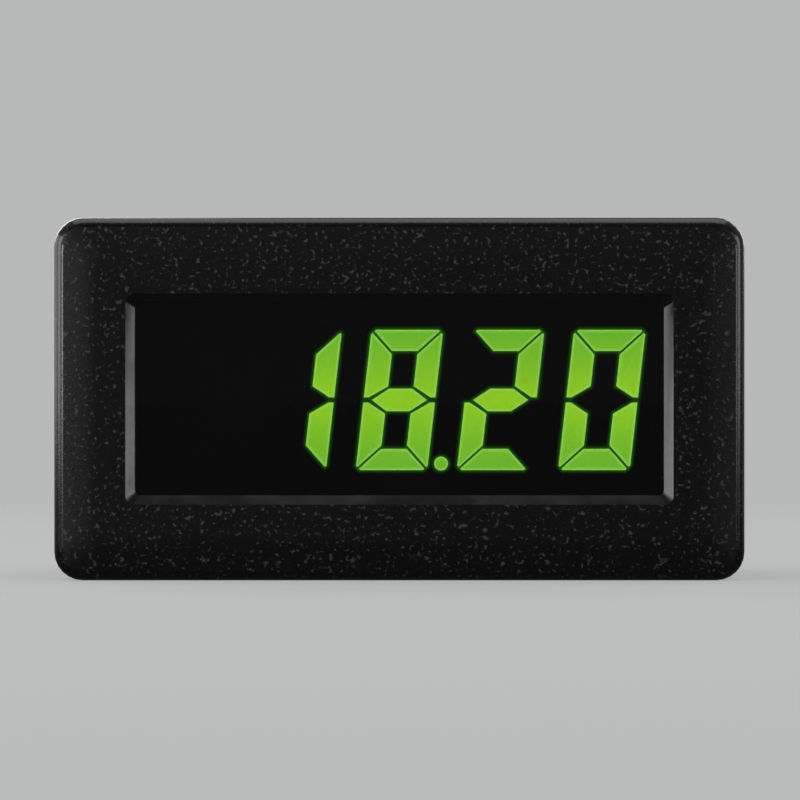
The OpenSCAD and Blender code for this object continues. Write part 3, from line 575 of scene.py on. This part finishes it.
def glow_field(step=0.13 * MM, reach=0.45 * MM, margin=0.6 * MM):
    """A fine sheet just behind the figures that carries the dim green light round each bar."""
    pts = np.array([p for o in outlines for p in o])
    lo, hi = pts.min(0) - margin, pts.max(0) + margin
    nx, nz = (int(math.ceil((hi[i] - lo[i]) / step)) + 1 for i in (0, 1))
    gx, gz = np.meshgrid(np.linspace(lo[0], hi[0], nx), np.linspace(lo[1], hi[1], nz), indexing="ij")
    total = np.zeros_like(gx)
    for o in outlines:
        best = np.full_like(gx, 1.0)
        inside = np.zeros(gx.shape, bool)
        for (ax, az), (bx, bz) in zip(o, o[1:] + o[:1]):
            dx, dz = bx - ax, bz - az
            t = np.clip(((gx - ax) * dx + (gz - az) * dz) / max(dx * dx + dz * dz, 1e-18), 0, 1)
            best = np.minimum(best, np.hypot(gx - ax - t * dx, gz - az - t * dz))
            cross = (az > gz) != (bz > gz)
            if abs(bz - az) > 1e-12:
                inside ^= cross & (gx < (bx - ax) * (gz - az) / (bz - az) + ax)
        best[inside] = 0
        total += np.clip(1 - best / reach, 0, 1) ** 2
    keep = total > 0.002  # dimmer than this isn't seen
    bm = bmesh.new()
    layer = bm.verts.layers.float.new("glow")
    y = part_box("lcd_rear_glass")[0].y - 0.004 * MM
    grid = {}

    def vert(i, j):
        if (i, j) not in grid:
            v = bm.verts.new((gx[i, j], y, gz[i, j]))
            v[layer] = float(min(total[i, j], 1.0))
            grid[i, j] = v
        return grid[i, j]

    for i in range(nx - 1):
        for j in range(nz - 1):
            if keep[i:i + 2, j:j + 2].any():
                bm.faces.new((vert(i, j), vert(i + 1, j), vert(i + 1, j + 1), vert(i, j + 1)))
    return finished(bm, "cell_glow")


piece("cell_glow", glow_field(), "lcd_rear_glass", glow)


def front_film(clear=0.02 * MM):
    """The front polariser, drawn a hair clear of the glass it is laminated to."""
    bm = clean_copy("lcd_front_polariser")
    back = max(v.co.y for v in bm.verts)
    for v in bm.verts:
        if v.co.y > back - 1e-6:
            v.co.y = back - clear
    shade(bm)
    ob = piece("front_film", finished(bm, "front_film"), "lcd_front_polariser", film)
    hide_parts("lcd_front_polariser")


front_film()

# ---------------------------------------------------------------- stage, lights, camera

GREY = (0.479, 0.491, 0.485)
FLOOR_HALF = 30.0


class Tree(Mat):
    """The same short names, for the trees of the floor and the world."""

    def __init__(self, tree, output):
        self.t = tree
        tree.nodes.clear()
        self.out = tree.nodes.new(output)

    def shader(self, kind, colour, strength=None):
        n = self.t.nodes.new(kind)
        n.inputs[0].default_value = (*colour, 1)
        if isinstance(strength, (int, float)):
            n.inputs[1].default_value = strength
        elif strength is not None:
            self.link(strength, n.inputs[1])
        return n.outputs[0]

    def blend(self, fac, a, b):
        n = self.t.nodes.new("ShaderNodeMixShader")
        for i, socket in enumerate((fac, a, b)):
            self.link(socket, n.inputs[i])
        return n.outputs[0]


def floor_material():
    """Matt grey that turns into the backdrop's even grey with distance, and is dim in reflections."""
    m = bpy.data.materials.new("floor")
    m.use_nodes = True
    t = Tree(m.node_tree, "ShaderNodeOutputMaterial")
    t.co = t.t.nodes.new("ShaderNodeTexCoord").outputs["Object"]
    rays = t.t.nodes.new("ShaderNodeLightPath").outputs
    length = t.t.nodes.new("ShaderNodeVectorMath")
    length.operation = "LENGTH"
    t.link(t.co, length.inputs[0])
    far = t.span(length.outputs["Value"], 0.07, 0.45, 0.72, 1.0)
    plain = t.shader("ShaderNodeBsdfDiffuse", (0.6, 0.615, 0.607))
    seen = t.blend(far, plain, t.shader("ShaderNodeEmission", GREY))
    mirrored = t.shader("ShaderNodeEmission", GREY, t.span(t.axis(1), -0.02, 0.05, 0.02, 0.5))
    direct = t.math("ADD", rays["Is Camera Ray"], rays["Is Transmission Ray"], clamp=True)
    t.link(t.blend(rays["Is Glossy Ray"], t.blend(direct, plain, seen), mirrored), t.out.inputs[0])
    return m


def stage_floor():
    """A wide floor at the foot of the part."""
    me = bpy.data.meshes.new("floor")
    s = FLOOR_HALF
    me.from_pydata([(-s, -s, 0), (s, -s, 0), (s, s, 0), (-s, s, 0)], [], [(0, 1, 2, 3)])
    ob = bpy.data.objects.new("floor", me)
    bpy.context.scene.collection.objects.link(ob)
    ob.location = (0, 0, cad_lo.z)
    me.materials.append(floor_material())


def studio_world():
    """The backdrop's grey for the camera, and a soft ambient light that is dim in front."""
    world = bpy.data.worlds.new("studio")
    bpy.context.scene.world = world
    world.use_nodes = True
    t = Tree(world.node_tree, "ShaderNodeOutputWorld")
    t.co = t.t.nodes.new("ShaderNodeTexCoord").outputs["Generated"]
    rays = t.t.nodes.new("ShaderNodeLightPath").outputs
    ambient = t.shader("ShaderNodeBackground", (1, 1, 1), t.span(t.axis(1), -0.9, 0.0, 0.02, 0.34))
    backdrop = t.shader("ShaderNodeBackground", GREY)
    t.link(t.blend(rays["Is Camera Ray"], ambient, backdrop), t.out.inputs[0])


stage_floor()
studio_world()


def area(name, direction, distance, width, height, radiance):
    """A soft panel light of a given brightness, aimed at the middle of the part."""
    d = Vector(direction).normalized()
    light = bpy.data.lights.new(name, "AREA")
    light.shape = "RECTANGLE"
    light.size = width
    light.size_y = height
    light.energy = radiance * math.pi * width * height
    ob = bpy.data.objects.new(name, light)
    bpy.context.scene.collection.objects.link(ob)
    ob.location = d * distance
    ob.rotation_mode = "QUATERNION"
    ob.rotation_quaternion = (-d).to_track_quat("-Z", "Y")


def round_front(degrees, rise=0.12):
    """A direction at an angle from straight ahead of the display, to the right where it is positive."""
    a = math.radians(degrees)
    return (math.sin(a), -math.cos(a), rise)


area("left_strip", round_front(-34), 0.9, 0.15, 0.55, 8.0)
area("left_soft", round_front(-63), 0.9, 0.5, 0.6, 4.2)
area("left_back", round_front(-104), 0.9, 0.66, 0.6, 1.9)
area("right_strip", round_front(35), 0.9, 0.15, 0.55, 3.4)
area("right_soft", round_front(58), 0.9, 0.36, 0.6, 3.0)
area("top_soft", (0, -0.02, 1), 1.0, 1.0, 1.0, 1.45)
area("back_left", (-0.5, 1, 0.5), 1.2, 0.8, 0.7, 3.2)
area("back_right", (0.7, 1, 0.45), 1.2, 0.6, 0.7, 2.4)

CAMERA_DIST = 0.6
FRAME_W = 86.68 * MM
SENSOR_W = 36
CAMERA_SHIFT = (0.065 * MM, -0.108 * MM)

camera = bpy.data.cameras.new("camera")
camera.sensor_width = SENSOR_W
camera.lens = SENSOR_W * CAMERA_DIST / FRAME_W
camera.clip_start = 0.01
camera.clip_end = 100
cam = bpy.data.objects.new("camera", camera)
bpy.context.scene.collection.objects.link(cam)
cam.location = (CAMERA_SHIFT[0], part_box("case")[0].y - CAMERA_DIST, CAMERA_SHIFT[1])
cam.rotation_euler = (math.radians(90), 0, 0)
bpy.context.scene.camera = cam
bpy.context.scene.view_settings.view_transform = "Standard"
